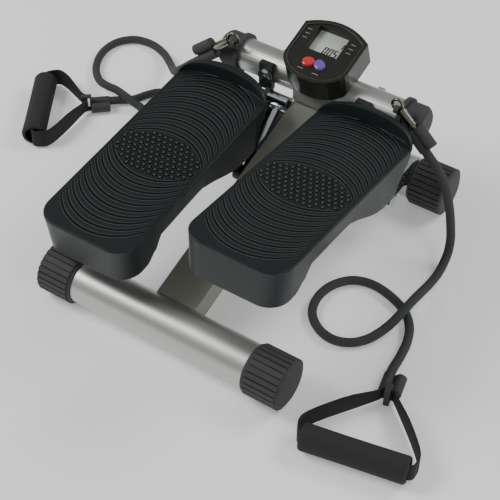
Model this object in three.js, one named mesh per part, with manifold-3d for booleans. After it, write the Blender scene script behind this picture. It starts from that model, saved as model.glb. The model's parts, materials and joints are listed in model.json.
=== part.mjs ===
// Mini stepper with two resistance bands. Millimetres, +X to the user's right, +Y towards the toes, +Z up.
// The origin is on the floor, at the centre of the machine's footprint.
import * as THREE from 'three';
import { mergeVertices } from 'three/addons/utils/BufferGeometryUtils.js';
import Module from 'manifold-3d';

const wasm = await Module();
wasm.setup();

// ---------------------------------------------------------------- driving dimensions
const GAP = 0.3; // clearance kept between pieces that touch
const RAD = Math.PI / 180;

const CAP = { radius: 29, length: 44.5, ribs: 26, grooveShare: 0.24, grooveDepth: 1.8, socket: 36 };
const RIB_HALF_ANGLE = (Math.PI / CAP.ribs) * (1 - CAP.grooveShare);
const HALF_WIDTH = 155.5; // over the end caps
const BASE = { y: 176, z: CAP.radius * Math.cos(RIB_HALF_ANGLE), radius: 25, wall: 2 };
const UPPER = { y: 133, z: 149, radius: 19, wall: 2, halfLength: 118, capEnd: 133, capRadius: 21 };
const BEAM = { halfWidth: 25, depth: 28, wall: 2.5, rearTop: [-157, 47], frontTop: [112, 128] };
const POST = { halfWidth: 20, depth: 26, foot: [180, 34], head: [141, 140] };

const PIVOT = { x: 86.6, y: 100, z: 55 }; // pedal pivot, mirrored on the left
const REST_TILT = 5.2; // degrees; the right pedal stands heel up, the left one heel down
const TREAD = {
  half: 59, heel: -296.5, tips: -37, apex: -8, top: 104, plate: 4, wall: 3, corner: 25, rim: 15,
};
const EAR = { inner: 12, outer: 16 }; // side plates of the pedal arm, either side of its centre line
const LUG = { inner: 19.1, outer: 24.1, radius: 14 };
const BOLT_RADIUS = 5;

const DAMPER = {
  x: 41, top: [106, 124], pin: [-65, 17], bodyRadius: 12, bodyEnd: 64, rodRadius: 5, eyeRadius: 9.5,
};
const ROCKER = { y: 135, z: 80, halfThickness: 4, hubRadius: 14, peg: [35, 25], pinRadius: 6 };
const CONSOLE = { y: 130, z: 195, tilt: 18, halfWidth: 40.5, depth: 30 };

const BAND = { radius: 5.2, sides: 8 };
const HOOK = { x: 106.8, y: 109.5, z: 182.5, eye: 6.5, wire: 1.7, slope: 39.5, yaw: -5 };
const SLEEVE = { radius: 6.4, bore: BAND.radius + GAP, spread: 6.2, length: 27 };
const GRIP = { radius: 15, bore: 10.5, length: 112, z: 15.3 };
const STRAP = { thickness: 2.4, low: 7.5, high: 19.5 };

// ---------------------------------------------------------------- materials
const finish = (color, roughness, metalness) => (
  new THREE.MeshStandardMaterial({ color, roughness, metalness })
);
const SATIN_STEEL = finish(0xa9aba4, 0.35, 0.9);
const OLIVE_PAINT = finish(0x6b6d60, 0.45, 0.4);
const ZINC = finish(0xb9c4c6, 0.25, 1.0);
const BLACK_STEEL = finish(0x1d1f1e, 0.5, 0.5);
const BLACK_PLASTIC = finish(0x262727, 0.55, 0);
const TREAD_PLASTIC = finish(0x2f3537, 0.6, 0);
const RUBBER = finish(0x2b2f2e, 0.5, 0);
const FOAM = finish(0x1c1c1c, 0.9, 0);
const WEBBING = finish(0x151515, 0.8, 0);
const LCD_GLASS = finish(0x8f9a86, 0.2, 0);
const CIRCUIT_GREEN = finish(0x1f5a35, 0.5, 0.1);
const RED = finish(0xc32a2a, 0.3, 0);
const VIOLET = finish(0x5a3fa0, 0.3, 0);

// ---------------------------------------------------------------- solid helpers
function solid(geometry) {
  geometry.deleteAttribute('normal');
  geometry.deleteAttribute('uv');
  const merged = mergeVertices(geometry, 1e-4);
  const index = merged.index.array;
  return new wasm.Manifold(new wasm.Mesh({
    numProp: 3,
    vertProperties: new Float32Array(merged.attributes.position.array),
    triVerts: new Uint32Array(index),
  }));
}

function geometryOf(body) {
  const mesh = body.getMesh();
  const geometry = new THREE.BufferGeometry();
  geometry.setAttribute('position', new THREE.BufferAttribute(new Float32Array(mesh.vertProperties), 3));
  geometry.setIndex(new THREE.BufferAttribute(new Uint32Array(mesh.triVerts), 1));
  return geometry;
}

const union = (first, ...others) => others.reduce((sum, body) => sum.add(body), first);
const cut = (body, ...tools) => tools.reduce((rest, tool) => rest.subtract(tool), body);

// Outline points are (y, z) for axis x, (x, z) for axis y and (x, y) for axis z.
function prism(axis, outline, from, to) {
  const shape = new THREE.Shape(outline.map(([a, b]) => new THREE.Vector2(a, b)));
  const geometry = new THREE.ExtrudeGeometry(shape, { depth: to - from, bevelEnabled: false, steps: 1 });
  if (axis === 'x') {
    geometry.translate(0, 0, from);
    geometry.applyMatrix4(new THREE.Matrix4().set(0, 0, 1, 0, 1, 0, 0, 0, 0, 1, 0, 0, 0, 0, 0, 1));
  } else if (axis === 'y') {
    geometry.rotateX(Math.PI / 2);
    geometry.translate(0, to, 0);
  } else {
    geometry.translate(0, 0, from);
  }
  return solid(geometry);
}

function circle(a, b, radius, sides = 24, turn = 0) {
  return Array.from({ length: sides }, (_, i) => {
    const angle = turn + (2 * Math.PI * i) / sides;
    return [a + radius * Math.cos(angle), b + radius * Math.sin(angle)];
  });
}

const rod = (axis, a, b, radius, from, to, sides = 24) => prism(axis, circle(a, b, radius, sides), from, to);
const hexagon = (axis, a, b, acrossFlats, from, to) =>
  prism(axis, circle(a, b, acrossFlats / Math.sqrt(3), 6), from, to);
const box = (x0, x1, y0, y1, z0, z1) => prism('z', [[x0, y0], [x1, y0], [x1, y1], [x0, y1]], z0, z1);

// A bar between two (y, z) points, as a closed outline with a thickness on each side of the line.
function barOutline([y0, z0], [y1, z1], below, above) {
  const length = Math.hypot(y1 - y0, z1 - z0);
  const n = [-(z1 - z0) / length, (y1 - y0) / length];
  const shift = ([y, z], d) => [y + n[0] * d, z + n[1] * d];
  return [shift([y0, z0], -below), shift([y1, z1], -below), shift([y1, z1], above), shift([y0, z0], above)];
}

const model = new THREE.Group();

function place(name, body, material, parent = model) {
  const mesh = new THREE.Mesh(geometryOf(body), material);
  mesh.name = name;
  parent.add(mesh);
  return mesh;
}

const SIDES = [{ name: 'left', sign: -1 }, { name: 'right', sign: 1 }];

// ---------------------------------------------------------------- base tubes and ribbed end caps
function tubeAlongX(y, z, radius, wall, half) {
  return cut(rod('x', y, z, radius, -half, half, 40), rod('x', y, z, radius - wall, -half - 1, half + 1, 40));
}

function ribbedOutline(y, z) {
  const points = [];
  const pitch = (2 * Math.PI) / CAP.ribs;
  for (let i = 0; i < CAP.ribs; i += 1) {
    const middle = -Math.PI / 2 + i * pitch;
    const floorHalf = pitch / 2 - RIB_HALF_ANGLE;
    const edge = middle + RIB_HALF_ANGLE;
    for (const [angle, radius] of [
      [middle - RIB_HALF_ANGLE, CAP.radius],
      [edge, CAP.radius],
      [edge + floorHalf * 0.4, CAP.radius - CAP.grooveDepth],
      [edge + floorHalf * 1.6, CAP.radius - CAP.grooveDepth],
    ]) {
      points.push([y + radius * Math.cos(angle), z + radius * Math.sin(angle)]);
    }
  }
  return points;
}

function endCap(sign, y) {
  const along = (from, to) => [Math.min(sign * from, sign * to), Math.max(sign * from, sign * to)];
  const inner = HALF_WIDTH - CAP.length;
  const ribs = prism('x', ribbedOutline(y, BASE.z), ...along(inner + 3, HALF_WIDTH - 2));
  const collar = rod('x', y, BASE.z, CAP.radius - 1.2, ...along(inner, inner + 4), 26);
  const disc = rod('x', y, BASE.z, CAP.radius - 2.6, ...along(HALF_WIDTH - 3, HALF_WIDTH), 26);
  const socket = rod('x', y, BASE.z, BASE.radius + GAP, ...along(inner - 1, inner + CAP.socket), 40);
  return cut(union(ribs, collar, disc), socket);
}

const baseHalf = HALF_WIDTH - CAP.length + CAP.socket - GAP;
const baseTube = (y) => tubeAlongX(y, BASE.z, BASE.radius, BASE.wall, baseHalf);
const upperTubeHole = (x) => rod('y', x, UPPER.z, 4.3, UPPER.y - 30, UPPER.y + 30, 12);
const rockerPinHole = rod('y', 0, ROCKER.z, ROCKER.pinRadius + GAP, 100, 200, 20);

place('rear_base_tube', baseTube(-BASE.y), SATIN_STEEL);
place('front_base_tube', baseTube(BASE.y), SATIN_STEEL);
for (const { name, sign } of SIDES) {
  place(`rear_${name}_cap`, endCap(sign, -BASE.y), BLACK_PLASTIC);
  place(`front_${name}_cap`, endCap(sign, BASE.y), BLACK_PLASTIC);
}

// ---------------------------------------------------------------- upper cross tube and its end caps
const HANGER_BOLT_X = 63;
const upperTube = cut(
  tubeAlongX(UPPER.y, UPPER.z, UPPER.radius, UPPER.wall, UPPER.halfLength),
  upperTubeHole(HANGER_BOLT_X),
  upperTubeHole(-HANGER_BOLT_X),
);
place('upper_tube', upperTube, SATIN_STEEL);

function upperCap(sign) {
  const inner = UPPER.halfLength - 8;
  const profile = [
    [UPPER.radius + GAP, inner],
    [UPPER.capRadius, inner],
    [UPPER.capRadius, UPPER.capEnd - 6],
    [UPPER.capRadius - 2, UPPER.capEnd - 2.5],
    [UPPER.capRadius - 5, UPPER.capEnd],
    [0, UPPER.capEnd],
    [0, UPPER.halfLength + GAP],
    [UPPER.radius + GAP, UPPER.halfLength + GAP],
    [UPPER.radius + GAP, inner],
  ].map(([r, h]) => new THREE.Vector2(r, h));
  const geometry = new THREE.LatheGeometry(profile, 28);
  geometry.rotateZ(-Math.PI / 2);
  if (sign < 0) {
    geometry.rotateY(Math.PI);
  }
  geometry.translate(0, UPPER.y, UPPER.z);
  const slot = box(sign * UPPER.capEnd - 3, sign * UPPER.capEnd + 3,
    UPPER.y - 9, UPPER.y - 5, UPPER.z - 9, UPPER.z + 1);
  return cut(solid(geometry), slot);
}
for (const { name, sign } of SIDES) {
  place(`upper_${name}_cap`, upperCap(sign), BLACK_PLASTIC);
}

// ---------------------------------------------------------------- inclined beam, front post
const rearTubeSpace = rod('x', -BASE.y, BASE.z, BASE.radius + GAP, -60, 60, 40);
const frontTubeSpace = rod('x', BASE.y, BASE.z, BASE.radius + GAP, -130, 130, 40);
const upperTubeSpace = rod('x', UPPER.y, UPPER.z, UPPER.radius + GAP, -130, 130, 40);

const beamSlope = (BEAM.frontTop[1] - BEAM.rearTop[1]) / (BEAM.frontTop[0] - BEAM.rearTop[0]);
const beamTop = (y) => [y, BEAM.rearTop[1] + beamSlope * (y - BEAM.rearTop[0])];
const beamOutline = barOutline(beamTop(-180), beamTop(128), BEAM.depth, 0);
const beamBore = barOutline(beamTop(-190), beamTop(140), BEAM.depth - BEAM.wall, -BEAM.wall);
const beamEnvelope = prism('x', beamOutline, -BEAM.halfWidth, BEAM.halfWidth);
const beam = cut(
  beamEnvelope,
  prism('x', beamBore, -BEAM.halfWidth + BEAM.wall, BEAM.halfWidth - BEAM.wall),
  rearTubeSpace,
  upperTubeSpace,
);
place('main_beam', beam, OLIVE_PAINT);

const post = cut(
  prism(
    'x',
    barOutline(POST.foot, POST.head, POST.depth / 2, POST.depth / 2),
    -POST.halfWidth,
    POST.halfWidth,
  ),
  prism('x', barOutline(POST.foot, POST.head, POST.depth / 2 - 2.5, POST.depth / 2 - 2.5), -17.5, 17.5),
  frontTubeSpace,
  upperTubeSpace,
  prism('x', beamOutline.map(([y, z]) => [y + GAP, z]), -26, 26),
  rockerPinHole,
);
place('front_post', post, OLIVE_PAINT);

// ---------------------------------------------------------------- rocker bar that couples the pedals
// It is drawn about its own pin, then tilted to match the pedals:
// a pedal's peg rises as much as the slot it sits in.
const rockerRatio = ROCKER.peg[0] / PIVOT.x;
const rocker = new THREE.Group();
rocker.position.set(0, ROCKER.y, ROCKER.z);
rocker.rotation.y = rockerRatio * REST_TILT * RAD;
model.add(rocker);
const barHalf = ROCKER.halfThickness;
const pegSlot = (x) => box(x - 9, x + 9, -9, 9, -5.4, 5.4);
const rockerEnd = (x) => box(x - 14, x + 14, -barHalf, barHalf, -9.5, 9.5);
const rockerBar = cut(
  union(
    box(-PIVOT.x, PIVOT.x, -barHalf, barHalf, -8, 8),
    rod('y', 0, 0, ROCKER.hubRadius, -7, 7, 28),
    rockerEnd(-PIVOT.x),
    rockerEnd(PIVOT.x),
  ),
  pegSlot(PIVOT.x),
  pegSlot(-PIVOT.x),
  rod('y', 0, 0, ROCKER.pinRadius + GAP, -20, 20, 20),
);
place('rocker_bar', rockerBar, BLACK_STEEL, rocker);
const rockerPin = union(
  rod('y', 0, ROCKER.z, ROCKER.pinRadius, ROCKER.y - 10, 182, 20),
  rod('y', 0, ROCKER.z, ROCKER.pinRadius + 4, ROCKER.y - 12, ROCKER.y - 7 - GAP, 20),
);
place('rocker_pin', rockerPin, ZINC);

// ---------------------------------------------------------------- pivot brackets on the front base tube
function pivotBracket(sign) {
  const plate = [
    [BASE.y, BASE.z - 10],
    [BASE.y, BASE.z + 31],
    [BASE.y - 16, BASE.z + 37],
    [BASE.y - 52, BASE.z + 37],
    ...circle(PIVOT.y, PIVOT.z, LUG.radius, 32).slice(7, 26),
    [BASE.y - 34, PIVOT.z - 12],
  ];
  const middle = sign * PIVOT.x;
  const lug = (from, to) => prism('x', plate, middle + from, middle + to);
  const web = box(middle - LUG.outer, middle + LUG.outer, BASE.y - 33, BASE.y - 20, PIVOT.z - 8, PIVOT.z + 4);
  return cut(
    union(lug(LUG.inner, LUG.outer), lug(-LUG.outer, -LUG.inner), web),
    frontTubeSpace,
    rod('x', PIVOT.y, PIVOT.z, BOLT_RADIUS + GAP, middle - 60, middle + 60),
  );
}

function pivotBolt(sign) {
  const middle = sign * PIVOT.x;
  const span = (from, to) => [Math.min(middle + sign * from, middle + sign * to),
    Math.max(middle + sign * from, middle + sign * to)];
  const outer = LUG.outer + GAP;
  return {
    bolt: union(
      rod('x', PIVOT.y, PIVOT.z, BOLT_RADIUS, ...span(-LUG.outer - 10, outer + 2), 20),
      rod('x', PIVOT.y, PIVOT.z, 10, ...span(outer, outer + 1.6), 24),
      hexagon('x', PIVOT.y, PIVOT.z, 16, ...span(outer + 1.2, outer + 7.5)),
    ),
    nut: cut(
      union(
        hexagon('x', PIVOT.y, PIVOT.z, 16, ...span(-outer - 8.5, -outer - 1.2)),
        rod('x', PIVOT.y, PIVOT.z, 10, ...span(-outer - 1.6, -outer), 24),
      ),
      rod('x', PIVOT.y, PIVOT.z, BOLT_RADIUS + GAP, ...span(-60, 0), 20),
    ),
  };
}

for (const { name, sign } of SIDES) {
  const fastener = pivotBolt(sign);
  place(`${name}_pivot_bracket`, pivotBracket(sign), ZINC);
  place(`${name}_pivot_bolt`, fastener.bolt, ZINC);
  place(`${name}_pivot_nut`, fastener.nut, ZINC);
}

// ---------------------------------------------------------------- pedals, each in its pivot's own frame
function treadOutline() {
  const points = [];
  const { half, heel, tips, apex, corner } = TREAD;
  for (let i = 0; i <= 5; i += 1) {
    const angle = -Math.PI / 2 + (i * Math.PI) / 10;
    points.push([half - corner + corner * Math.cos(angle), heel + corner + corner * Math.sin(angle)]);
  }
  for (const y of [-258, -246, -234, -205, -165, -135, -105, -75, -56, -46]) {
    points.push([half, y]);
  }
  for (let i = 0; i <= 16; i += 1) {
    const angle = (i * Math.PI) / 16;
    points.push([half * Math.cos(angle), tips + (apex - tips) * Math.sin(angle)]);
  }
  const leftSide = points.slice(0, 16).reverse().map(([x, y]) => [-x, y]);
  return [...points, ...leftSide];
}

// How far the skirt hangs below the tread's top: deep at the heel, shallow in the middle, deep at the pivot.
const SKIRT = [[-297, 47], [-262, 47], [-246, 38], [-234, 25], [-165, 24], [-75, 52], [-56, 52], [-46, 34],
  [-37, 22], [0, 22]];
function skirtDepth(y) {
  const next = SKIRT.findIndex(([at]) => at >= y);
  const [y0, d0] = SKIRT[Math.max(next - 1, 0)];
  const [y1, d1] = SKIRT[Math.max(next, 0)];
  return y1 === y0 ? d0 : d0 + ((d1 - d0) * (y - y0)) / (y1 - y0);
}

function ringShell(rings) {
  // Each ring is a closed loop of the same number of points; neighbours are joined by quads, ends by fans.
  const count = rings[0].length;
  const positions = rings.flat(2);
  const index = [];
  for (let r = 0; r < rings.length - 1; r += 1) {
    for (let i = 0; i < count; i += 1) {
      const j = (i + 1) % count;
      const [a, b, c, d] = [r * count + i, r * count + j, (r + 1) * count + j, (r + 1) * count + i];
      index.push(a, c, b, a, d, c);
    }
  }
  const last = (rings.length - 1) * count;
  for (let i = 1; i < count - 1; i += 1) {
    index.push(0, i, i + 1, last, last + i + 1, last + i);
  }
  const geometry = new THREE.BufferGeometry();
  geometry.setAttribute('position', new THREE.BufferAttribute(new Float32Array(positions), 3));
  geometry.setIndex(index);
  return solid(geometry);
}

function treadShell() {
  const outline = treadOutline();
  const middleY = -150;
  const inset = ([x, y], d) => {
    const reach = Math.hypot(x, (y - middleY) * 0.4);
    return [x - (d * x) / reach, y - (d * 0.8 * (y - middleY)) / Math.abs(y - middleY || 1)];
  };
  const ring = (d, height) => outline.map((p) => [...inset(p, d), height(p)]);
  const under = ([, y]) => TREAD.top - skirtDepth(y);
  return ringShell([
    ring(0, () => TREAD.top),
    ring(3, under),
    ring(3 + TREAD.wall, under),
    ring(TREAD.wall, () => TREAD.top - TREAD.plate),
  ]);
}

// The raised toe rim: a crescent that is highest at the toe and dies away at its two tips.
function toeRim() {
  const steps = 16;
  const { half, tips, apex, top, rim } = TREAD;
  const rows = [];
  for (let i = 0; i <= steps; i += 1) {
    const angle = (i * Math.PI) / steps;
    const rise = Math.max(Math.sin(angle), 0.05);
    const outer = [half * Math.cos(angle), tips + (apex - tips) * Math.sin(angle)];
    const inner = [(half - 2) * Math.cos(angle), tips + (apex - tips - 13) * Math.sin(angle)];
    const inward = ([x, y], d) => [x * (1 - d / 60), y - d * Math.sin(angle)];
    rows.push([
      [...inward(outer, 0), top - 2],
      [...inward(outer, 3 * rise), top + rim * rise],
      [...inner, top + (rim + 2) * rise],
      [...inner, top - 2],
    ]);
  }
  const positions = rows.flat(2);
  const index = [0, 1, 2, 0, 2, 3];
  for (let r = 0; r < steps; r += 1) {
    for (let i = 0; i < 4; i += 1) {
      const j = (i + 1) % 4;
      const [a, b, c, d] = [r * 4 + i, r * 4 + j, (r + 1) * 4 + j, (r + 1) * 4 + i];
      index.push(a, c, b, a, d, c);
    }
  }
  const end = steps * 4;
  index.push(end, end + 2, end + 1, end, end + 3, end + 2);
  const geometry = new THREE.BufferGeometry();
  geometry.setAttribute('position', new THREE.BufferAttribute(new Float32Array(positions), 3));
  geometry.setIndex(index);
  return solid(geometry);
}

function pedalArm(sign) {
  const side = [
    [-282, 82], [-282, 99.7], [-50, 99.7], [-36, 79], [-4, 76], [10, 60], [24, 34], [24, 18], [14, 2],
    ...circle(0, 0, 14, 24).filter(([, z]) => z < -1).reverse(),
    [-24, 4], [-58, 6], [-74, 10], [-84, 30], [-110, 62], [-140, 82],
  ].reverse();
  const reach = [-sign * (PIVOT.x - DAMPER.x + 12), -sign * EAR.inner].sort((a, b) => a - b);
  const damperPin = rod('x', ...DAMPER.pin, 4, ...reach, 16);
  const rockerPeg = rod('y', 0, ROCKER.peg[1], 4, 12, 44, 16);
  const frame = cut(
    union(
      prism('x', side, EAR.inner, EAR.outer),
      prism('x', side, -EAR.outer, -EAR.inner),
      box(-EAR.outer, EAR.outer, -282, -50, 95.7, 99.7),
      box(-EAR.inner - 1, EAR.inner + 1, 8, 24, 19, 31),
      rod('x', 0, 0, 12, -17, 17, 28),
    ),
    rod('x', 0, 0, 7, -40, 40, 24),
  );
  return union(frame, damperPin, rockerPeg);
}

function pivotBush(end) {
  const along = (from, to) => [Math.min(end * from, end * to), Math.max(end * from, end * to)];
  return cut(
    union(
      rod('x', 0, 0, 7 - GAP, ...along(-18.6, 18), 24),
      rod('x', 0, 0, 11, ...along(17 + GAP, 18.8), 24),
    ),
    rod('x', 0, 0, BOLT_RADIUS + GAP, -40, 40, 24),
  );
}

for (const { name, sign } of SIDES) {
  const pedal = new THREE.Group();
  pedal.position.set(sign * PIVOT.x, PIVOT.y, PIVOT.z);
  pedal.rotation.x = -sign * REST_TILT * RAD;
  model.add(pedal);
  place(`${name}_tread`, union(treadShell(), toeRim()), TREAD_PLASTIC, pedal);
  place(`${name}_pedal_arm`, pedalArm(sign), BLACK_STEEL, pedal);
  place(`${name}_pivot_bush`, pivotBush(sign), BLACK_PLASTIC, pedal);
}

// ---------------------------------------------------------------- dampers from the upper tube to the arms
// A plate on the back of the upper tube, with a web that reaches down
// to a welded pin for the damper's top eye.
function damperHanger(sign) {
  const [topY, topZ] = DAMPER.top;
  const across = (from, to) => [Math.min(sign * from, sign * to), Math.max(sign * from, sign * to)];
  const flange = prism('x', [[110.5, 130], [118, 130], [118, 164], [110.5, 164]], ...across(54.6, 72));
  const web = prism('x', [
    [110.5, 134], [118, 134], [topY + 8, topZ - 6], [topY, topZ - 10],
    [topY - 8, topZ - 6], [topY - 8, topZ + 4],
  ], ...across(55, 61));
  const pin = rod('x', topY, topZ, 5, ...across(27.5, 58), 16);
  return cut(
    union(flange, web, pin),
    upperTubeSpace,
    rod('y', sign * HANGER_BOLT_X, UPPER.z, 4.3, 90, 140, 12),
  );
}

function hangerBolt(sign) {
  const x = sign * HANGER_BOLT_X;
  return union(
    rod('y', x, UPPER.z, 4, 104.5, UPPER.y + UPPER.radius + 3, 12),
    hexagon('y', x, UPPER.z, 13, UPPER.y + UPPER.radius + 0.5, UPPER.y + UPPER.radius + 6),
  );
}

function hangerNut(sign) {
  const x = sign * HANGER_BOLT_X;
  return cut(
    union(hexagon('y', x, UPPER.z, 13, 105.6, 109.4), rod('y', x, UPPER.z, 9, 109, 110.5 - GAP, 24)),
    rod('y', x, UPPER.z, 4 + GAP, 80, 120, 12),
  );
}

for (const { name, sign } of SIDES) {
  const tilt = -sign * REST_TILT * RAD;
  const [py, pz] = DAMPER.pin;
  const pinAt = [
    PIVOT.y + py * Math.cos(tilt) - pz * Math.sin(tilt),
    PIVOT.z + py * Math.sin(tilt) + pz * Math.cos(tilt),
  ];
  const [topY, topZ] = DAMPER.top;
  const reach = Math.hypot(topY - pinAt[0], topZ - pinAt[1]);
  const damper = new THREE.Group();
  damper.position.set(sign * DAMPER.x, topY, topZ);
  damper.rotation.x = Math.atan2(topZ - pinAt[1], topY - pinAt[0]);
  model.add(damper);
  // In the damper's own frame it runs back along -Y from its top eye.
  const body = cut(
    union(
      rod('x', 0, 0, DAMPER.eyeRadius, -13, 13, 24),
      rod('y', 0, 0, DAMPER.bodyRadius, -DAMPER.bodyEnd, -12, 28),
      rod('y', 0, 0, 6, -14, -6, 16),
    ),
    rod('x', 0, 0, 5 + GAP, -20, 20, 16),
    rod('y', 0, 0, DAMPER.rodRadius + GAP, -DAMPER.bodyEnd - 1, -16, 20),
  );
  const rodEnd = cut(
    union(
      rod('y', 0, 0, DAMPER.rodRadius, -reach + 6, -36, 20),
      rod('x', -reach, 0, DAMPER.eyeRadius, -10, 10, 24),
    ),
    rod('x', -reach, 0, 4.9, -20, 20, 16),
  );
  place(`${name}_damper_body`, body, ZINC, damper);
  place(`${name}_damper_rod`, rodEnd, BLACK_STEEL, damper);
  place(`${name}_damper_hanger`, damperHanger(sign), BLACK_STEEL);
  place(`${name}_hanger_bolt`, hangerBolt(sign), ZINC);
  place(`${name}_hanger_nut`, hangerNut(sign), ZINC);
}

// ---------------------------------------------------------------- console saddle and counter
const counter = new THREE.Group();
counter.position.set(0, CONSOLE.y, CONSOLE.z);
counter.rotation.x = CONSOLE.tilt * RAD;
model.add(counter);

function faceOutline(inset) {
  // A shield: shallow arc along the top, straight sides and a deep arc along the bottom.
  const half = CONSOLE.halfWidth - inset;
  const points = [];
  for (let i = 0; i <= 14; i += 1) {
    const angle = Math.PI + (i * Math.PI) / 14;
    points.push([half * Math.cos(angle), -14 + (28 - inset) * Math.sin(angle)]);
  }
  for (let i = 0; i <= 10; i += 1) {
    const t = i / 5 - 1;
    points.push([-t * half, 30 - inset + 13 * (1 - t * t)]);
  }
  return points;
}

const SADDLE = { radius: UPPER.radius + GAP + 3.6, halfWidth: 25.5 };
const saddle = cut(
  union(
    rod('x', UPPER.y, UPPER.z, SADDLE.radius, -SADDLE.halfWidth, SADDLE.halfWidth, 40),
    prism(
      'x',
      [[110.1, 131], [124, 131], [124, UPPER.z], [110.1, UPPER.z]],
      -SADDLE.halfWidth,
      SADDLE.halfWidth,
    ),
  ),
  upperTubeSpace,
  prism('x', [[124, 100], [200, 100], [200, 146], [124, 146]], -40, 40),
  prism('x', beamOutline.map(([y, z]) => [y, z + GAP]), -26, 26),
);
place('console_saddle', saddle, OLIVE_PAINT);

const WINDOW = { x0: -22, x1: 18, y0: -2, y1: 32 };
const BUTTON = { red: [-8, -19], violet: [6, -18], radius: 6 };
const buttonHole = ([x, y]) => rod('z', x, y, BUTTON.radius + GAP, -20, 10, 20);
const tubeInCounter = [
  (UPPER.y - CONSOLE.y) * Math.cos(CONSOLE.tilt * RAD) + (UPPER.z - CONSOLE.z) * Math.sin(CONSOLE.tilt * RAD),
  (UPPER.z - CONSOLE.z) * Math.cos(CONSOLE.tilt * RAD) - (UPPER.y - CONSOLE.y) * Math.sin(CONSOLE.tilt * RAD),
];
const HATCH = { x: 13, y0: 8, y1: 33 };
const housingBlock = prism('z', faceOutline(0), -CONSOLE.depth, -GAP);
const hugRadius = SADDLE.radius + GAP;
const housing = cut(
  union(
    cut(housingBlock, prism('z', faceOutline(3), -CONSOLE.depth + 3, 5)),
    housingBlock.intersect(rod('x', ...tubeInCounter, hugRadius + 2.5, -50, 50, 40)),
  ),
  rod('x', ...tubeInCounter, UPPER.radius + GAP, -50, 50, 40),
  rod('x', ...tubeInCounter, hugRadius, -SADDLE.halfWidth - GAP, SADDLE.halfWidth + GAP, 40),
  box(-HATCH.x, HATCH.x, HATCH.y0, HATCH.y1, -CONSOLE.depth - 1, -CONSOLE.depth + 5),
);
place('console_housing', housing, BLACK_PLASTIC, counter);
const face = cut(
  union(
    prism('z', faceOutline(0), 0, 1.6),
    prism('z', faceOutline(3.4), -3, 1),
    box(WINDOW.x0 - 1.4, WINDOW.x1 + 1.4, WINDOW.y0 - 1.4, WINDOW.y1 + 1.4, -8 + GAP, 0.5),
  ),
  prism('z', faceOutline(4.5), 0.6, 3),
  box(WINDOW.x0, WINDOW.x1, WINDOW.y0, WINDOW.y1, -10, 10),
  buttonHole(BUTTON.red),
  buttonHole(BUTTON.violet),
);
place('console_face', face, BLACK_PLASTIC, counter);
const glass = box(WINDOW.x0 - 1.5, WINDOW.x1 + 1.5, WINDOW.y0 - 1.5, WINDOW.y1 + 1.5, -9.5, -8);
place('lcd_panel', glass, LCD_GLASS, counter);
place('circuit_board', box(-29, 29, -18, 29, -12, -10.4), CIRCUIT_GREEN, counter);
place('battery', rod('z', 0, 20.5, 10, -16, -12 - GAP, 24), SATIN_STEEL, counter);
const hatchCover = box(-HATCH.x + GAP, HATCH.x - GAP, HATCH.y0 + GAP, HATCH.y1 - GAP, -CONSOLE.depth,
  -CONSOLE.depth + 2.6);
place('battery_cover', hatchCover, BLACK_PLASTIC, counter);
const buttonBody = ([x, y]) => union(
  rod('z', x, y, BUTTON.radius, -7.5, 1, 20),
  rod('z', x, y, BUTTON.radius - 1.2, 0.5, 3.2, 20),
);
place('red_button', buttonBody(BUTTON.red), RED, counter);
place('violet_button', buttonBody(BUTTON.violet), VIOLET, counter);

// ---------------------------------------------------------------- snap hooks at the ends of the upper tube
// The double sleeve runs along X: the band sits in its lower channel, the other channel is left open.
const sleeveBody = (from, length, channels) => cut(
  union(...channels.map(([y, z]) => rod('x', y, z, SLEEVE.radius, from, from + length, 24))),
  ...channels.map(([y, z]) => rod('x', y, z, SLEEVE.bore, from + 4, from + length + 5, 20)),
);

const mirrored = (shape, sign) => (sign > 0 ? shape : shape.scale([-1, 1, 1]));

function tubeRing() {
  const eye = [HOOK.y, HOOK.z - HOOK.eye];
  const tab = barOutline([UPPER.y - 14, UPPER.z + 17], eye, 4, 4);
  return cut(
    union(
      rod('x', UPPER.y, UPPER.z, 23.6, 104, 109.6, 36),
      prism('x', tab, 104, 109.6),
      rod('x', ...eye, 4.6, 104, 109.6, 20),
    ),
    upperTubeSpace,
    rod('x', ...eye, 3.4, 100, 115, 16),
  );
}

// The hook's ring stands in the X-Z plane, its barrel points away from the ring's centre.
function snapHook() {
  const ring = new THREE.TorusGeometry(HOOK.eye, HOOK.wire, 10, 28);
  ring.rotateX(Math.PI / 2);
  ring.rotateY(0.3);
  return union(solid(ring), rod('x', 0, 0, 5, HOOK.eye + 0.8, 28, 24), rod('x', 0, 0, 3, 20, 31.4, 16));
}

for (const { name, sign } of SIDES) {
  place(`${name}_tube_ring`, mirrored(tubeRing(), sign), BLACK_PLASTIC);
  const hook = new THREE.Group();
  hook.position.set(sign * HOOK.x, HOOK.y, HOOK.z);
  hook.rotation.set(0, sign * HOOK.slope * RAD, sign * HOOK.yaw * RAD);
  model.add(hook);
  place(`${name}_snap_hook`, mirrored(snapHook(), sign), ZINC, hook);
  const channels = [[0, -SLEEVE.spread], [0, SLEEVE.spread]];
  const hookSleeve = mirrored(sleeveBody(31.7, SLEEVE.length, channels), sign);
  place(`${name}_hook_sleeve`, hookSleeve, BLACK_PLASTIC, hook);
}

// ---------------------------------------------------------------- handles, lying on the floor
const HANDLES = {
  right: { start: [231.5, -88], along: [0.22, -0.976], grip: [248.5, -203.5], gripAlong: [0.98, 0.196] },
  left: { start: [-295, 106], along: [-0.75, -0.66], grip: [-357.5, 42.5], gripAlong: [0.522, -0.853] },
};
const LOOP = { z: 7, from: 23, to: 36, low: -6.6, high: 15.6, bar: 2.4 };

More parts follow.
